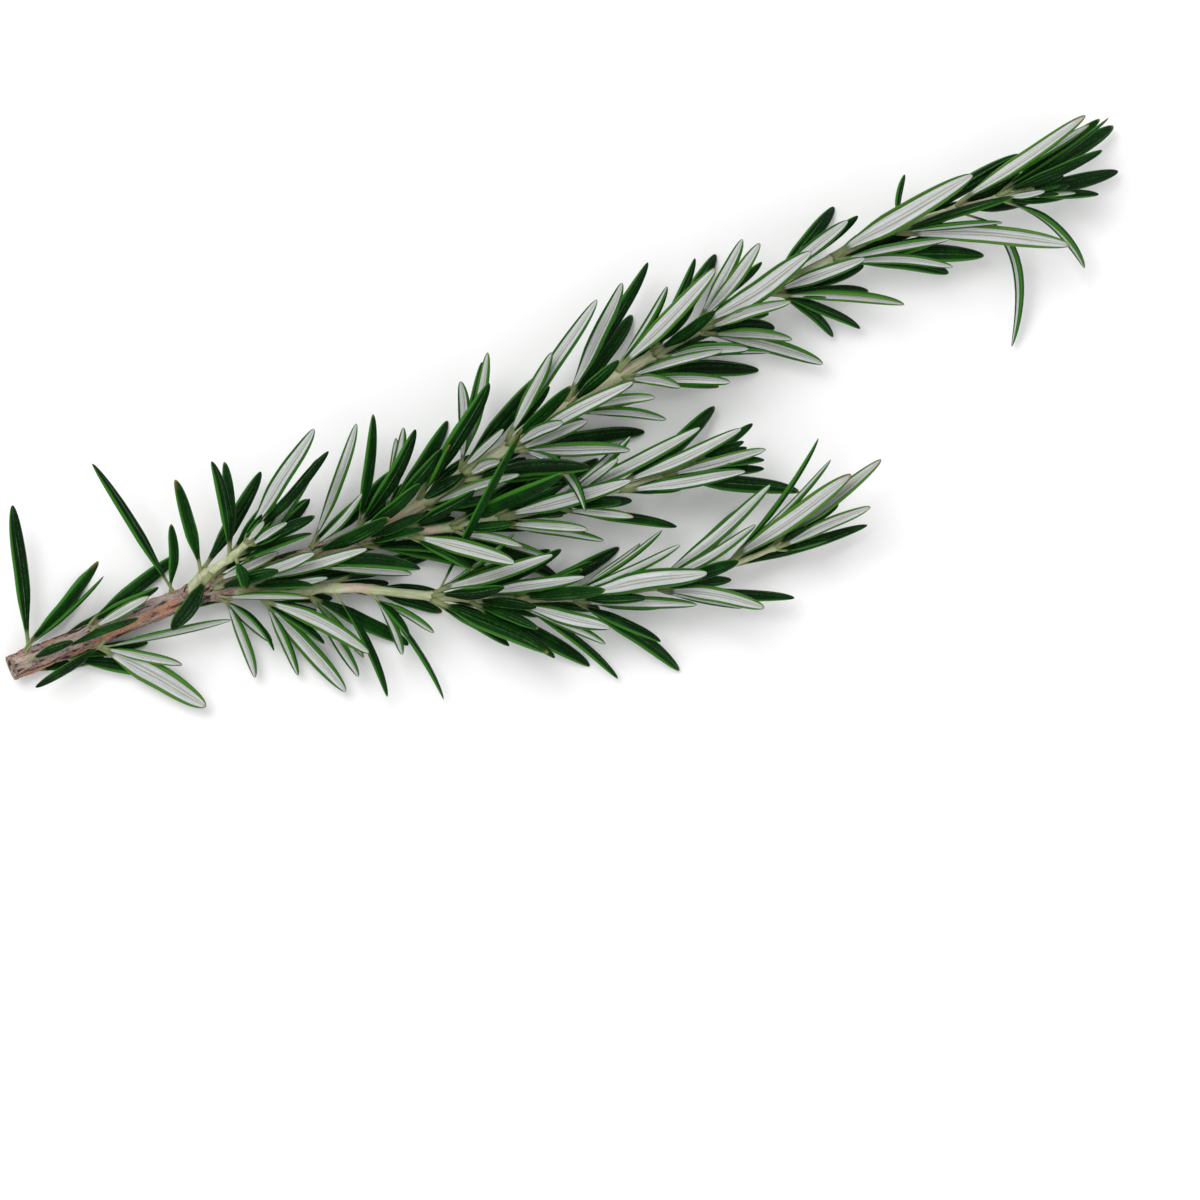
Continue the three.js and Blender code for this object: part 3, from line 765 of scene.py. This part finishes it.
def leaf_material():
    """Dark green above, with painted highlights along the groove and on the top of one half, and bright
    margins; pale felt and a midrib below, with painted shade beside it.
    """
    shader = Shader("leaf")
    under = shader.attribute("felt")
    felt = shader.step(under, 0.42, 0.8)
    side = shader.attribute("across")
    across = shader.size(side)
    along = shader.attribute("along")
    seed = shader.attribute("seed")
    blade = shader.blade_place(along, side, seed)
    broad = shader.noise(LEAF_PATCHES, 3)
    beads = shader.noise(LEAF_BEADS, 3, roughness=0.55)
    streak = shader.noise(LEAF_STREAKS, 4, blade, 0.6)
    veins = shader.noise(LEAF_VEINS, 4, roughness=0.7)

    # Upper side
    green = shader.mix(seed, DEEP_GREEN, FULL_GREEN)
    green = shader.mix(shader.step(broad, 0.45, 0.75, 0, 0.5), green, PATCH_GREEN)
    green = shader.mix(shader.step(beads, 0.48, 0.7, 0, 0.5), green, PIT_GREEN)
    # Painted highlight: a lighter beaded line along the groove
    groove = shader.times(shader.step(across, 0.1, 0.03), shader.step(beads, 0.56, 0.42))
    green = shader.mix(shader.times(groove, 0.3), green, GROOVE_HIGHLIGHT)
    green = shader.mix(shader.step(across, 0.84, 0.98, 0, 0.75), green, EDGE_GREEN)
    # Painted highlight: a lighter beaded line on the top of one half of the blade, the half chosen at
    # random for each leaf
    crest_highlight = shader.times(shader.step(across, 0.4, 0.48), shader.step(across, 0.58, 0.5))
    highlight_side = shader.times(side, shader.maths("SUBTRACT", seed, 0.5))
    crest_highlight = shader.times(crest_highlight, shader.step(highlight_side, 0, 0.08))
    crest_highlight = shader.times(crest_highlight, shader.step(streak, 0.4, 0.55))
    crest_highlight = shader.times(crest_highlight, shader.step(beads, 0.62, 0.4, 0.22, 0.62))
    green = shader.mix(crest_highlight, green, CREST_HIGHLIGHT)

    # Underside
    pale = shader.mix(shader.step(streak, 0.3, 0.7), GREY_FELT, WHITE_FELT)
    pale = shader.mix(shader.step(veins, 0.5, 0.7, 0, 0.4), pale, VEIN_FELT)
    pale = shader.mix(shader.step(broad, 0.5, 0.75, 0, 0.25), pale, PATCH_FELT)
    # Painted shade: darker bands in the creases beside the midrib
    rib_side_shade = shader.times(shader.step(across, 0.28, 0.16), shader.step(across, 0.05, 0.12))
    pale = shader.mix(shader.times(rib_side_shade, 0.55), pale, RIB_SIDE_SHADE)
    pale = shader.mix(shader.step(across, 0.09, 0.03, 0, 0.5), pale, RIB_CREST)
    colour = shader.mix(felt, green, pale)
    margin = shader.times(shader.step(under, 0.08, 0.28), shader.step(under, 0.8, 0.5))
    margin = shader.times(margin, shader.step(across, 0.58, 0.7, 0, 0.75))
    bright = shader.mix(seed, MARGIN_GREEN, MARGIN_LIME)
    colour = shader.mix(margin, colour, bright)

    # Stalk and tip
    colour = shader.mix(shader.step(along, 0.11, 0.04, 0, 0.8), colour, STALK_GREEN)
    dry = shader.times(shader.step(along, 0.96, 0.998), shader.step(seed, 0.5, 0.8, 0, 0.8))
    colour = shader.mix(dry, colour, DRY_TIP)
    brown = shader.times(shader.step(along, 0.88, 0.97), shader.step(seed, 0.92, 0.96, 0, 0.7))
    brown = shader.times(brown, shader.step(across, 0.2, 0.7))
    colour = shader.mix(brown, colour, BROWN_TIP)

    rough_green = shader.step(beads, 0.3, 0.8, 0.24, 0.36)
    rough_parts = {"Factor": felt, "A": rough_green, "B": FELT_ROUGHNESS}
    roughness = shader.add("ShaderNodeMix", rough_parts).outputs[0]
    grain = shader.bump(beads, BEAD_DEPTH, 0.8)
    normal = shader.bump(shader.times(veins, felt), VEIN_DEPTH, 0.7, grain)
    shader.surface.inputs["Specular IOR Level"].default_value = LEAF_SPECULAR
    return shader.finish(colour, roughness, normal)


def stem_material():
    """Pinkish-grey bark with rusty streaks at the base, downy pale-green shoots, and a pale cut end."""
    shader = Shader("stem")
    bark = shader.attribute("bark")
    node = shader.attribute("node")
    cut = shader.attribute("cut")
    radial = shader.attribute("radial")
    long_grain = shader.scaled(shader.attribute_place("grain"), STEM_GRAIN)
    streak = shader.noise(STEM_STREAKS, 5, long_grain, 0.65)
    plates = shader.noise(STEM_PLATES, 3, long_grain, 0.6)
    speck = shader.noise(STEM_SPECKS, 4, roughness=0.7)
    patch = shader.noise(STEM_PATCHES, 2)

    # Bark
    brown = shader.mix(shader.step(streak, 0.36, 0.6), BARK_BROWN, BARK_PINK)
    rust = shader.times(shader.step(plates, 0.54, 0.6), shader.step(streak, 0.42, 0.52))
    brown = shader.mix(shader.times(rust, 0.7), brown, BARK_RUST)
    brown = shader.mix(shader.step(plates, 0.48, 0.38, 0, 0.75), brown, BARK_GREY)
    brown = shader.mix(shader.step(streak, 0.47, 0.4, 0, 0.92), brown, BARK_CRACK)
    brown = shader.mix(shader.step(speck, 0.56, 0.64, 0, 0.8), brown, BARK_SPECK)

    # Green shoots
    young = shader.mix(shader.step(streak, 0.35, 0.7), SHOOT_GREEN, SHOOT_PALE)
    young = shader.mix(shader.step(patch, 0.5, 0.64, 0, 0.75), young, SHOOT_PINK)
    young = shader.mix(shader.step(speck, 0.5, 0.7, 0, 0.4), young, SHOOT_DOWN)
    young = shader.mix(shader.times(node, 0.4), young, NODE_GREEN)
    ragged = shader.maths("ADD", bark, shader.step(streak, 0.2, 0.8, -0.3, 0.3))
    colour = shader.mix(shader.step(ragged, 0.38, 0.62), young, brown)

    # Cut end
    wood = shader.mix(shader.step(radial, 0.1, 0.32), PITH_BROWN, WOOD_PALE)
    wood = shader.mix(shader.step(radial, 0.7, 0.86), wood, WOOD_RIM)
    wood = shader.mix(shader.step(speck, 0.5, 0.7, 0, 0.5), wood, WOOD_SPECK)
    colour = shader.mix(cut, colour, wood)

    roughness = shader.step(streak, 0.3, 0.7, 0.62, 0.88)
    lengthwise = shader.bump(streak, STREAK_DEPTH, 0.7)
    normal = shader.bump(speck, SPECK_DEPTH, 0.5, lengthwise)
    shader.surface.inputs["Specular IOR Level"].default_value = STEM_SPECULAR
    return shader.finish(colour, roughness, normal)


def floor_material():
    shader = Shader("floor")
    colour = shader.mix(shader.noise(FLOOR_PATCHES, 2), FLOOR_GREY, FLOOR_WHITE)
    normal = shader.bump(shader.noise(FLOOR_GRAIN, 2), FLOOR_DEPTH, 0.1)
    return shader.finish(colour, FLOOR_ROUGHNESS, normal)


# Studio

def page_direction(right, up):
    """A level direction given along the photograph's sides, in the row frame."""
    turn = math.radians(PAGE_TURN)
    return Vector((
        right * math.cos(turn) - up * math.sin(turn),
        right * math.sin(turn) + up * math.cos(turn),
        0,
    ))


def build_floor():
    half = FLOOR_SIDE / 2
    corners = [(-half, -half, 0), (half, -half, 0), (half, half, 0), (-half, half, 0)]
    mesh = bpy.data.meshes.new("floor")
    mesh.from_pydata(corners, [], [(0, 1, 2, 3)])
    mesh.materials.append(floor_material())
    floor = bpy.data.objects.new("floor", mesh)
    bpy.context.scene.collection.objects.link(floor)


def cut_end():
    """Middle of the stem's cut end, in the row frame."""
    places = positions_of(STEM.data)
    end = places[places[:, 0] < places[:, 0].min() + CUT_DEPTH]
    return Vector(np.unique(end.round(6), axis=0).mean(axis=0))


def build_camera():
    data = bpy.data.cameras.new("camera")
    data.sensor_width = SENSOR
    data.lens = SENSOR * CAMERA_DISTANCE / PAGE_WIDTH
    data.clip_start = CAMERA_NEAR
    camera = bpy.data.objects.new("camera", data)
    bpy.context.scene.collection.objects.link(camera)
    camera.location = cut_end() + page_direction(*PAGE_MIDDLE)
    camera.location.z = STEM_HEIGHT + CAMERA_DISTANCE
    camera.rotation_euler = (0, 0, math.radians(PAGE_TURN))
    bpy.context.scene.camera = camera


def build_lamp(name, right, up, height, side, power):
    """A soft square lamp over the page, turned to the sprig."""
    data = bpy.data.lights.new(name, "AREA")
    data.size = side
    data.energy = power
    lamp = bpy.data.objects.new(name, data)
    bpy.context.scene.collection.objects.link(lamp)
    lamp.location = page_direction(right, up) + Vector((0, 0, height))
    lamp.rotation_euler = (-lamp.location).to_track_quat("-Z", "Y").to_euler()


def build_studio():
    build_floor()
    build_camera()
    build_lamp("key", *KEY_LAMP)
    build_lamp("fill", *FILL_LAMP)
    world = bpy.data.worlds.new("studio")
    world.use_nodes = True
    background = world.node_tree.nodes["Background"]
    background.inputs["Color"].default_value = SKY_COLOUR
    background.inputs["Strength"].default_value = SKY_STRENGTH
    bpy.context.scene.world = world
    bpy.context.scene.view_settings.view_transform = "Standard"


def build_sprig():
    """Every whorl of leaves in the order of their names, then the stem with a swelling at each stalk."""
    stem_tree = tree_of(STEM)
    leaf = leaf_material()
    feet = []
    for name in sorted(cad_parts):
        if name == "stem":
            continue
        dice = random.Random(name)
        shapes = [LeafShape(found, stem_tree, dice) for found in leaves_of(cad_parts[name])]
        feet.extend(shape.foot for shape in shapes)
        build_whorl(name, shapes, leaf)
    build_stem(stem_material(), feet, stem_tree)


build_sprig()
build_studio()
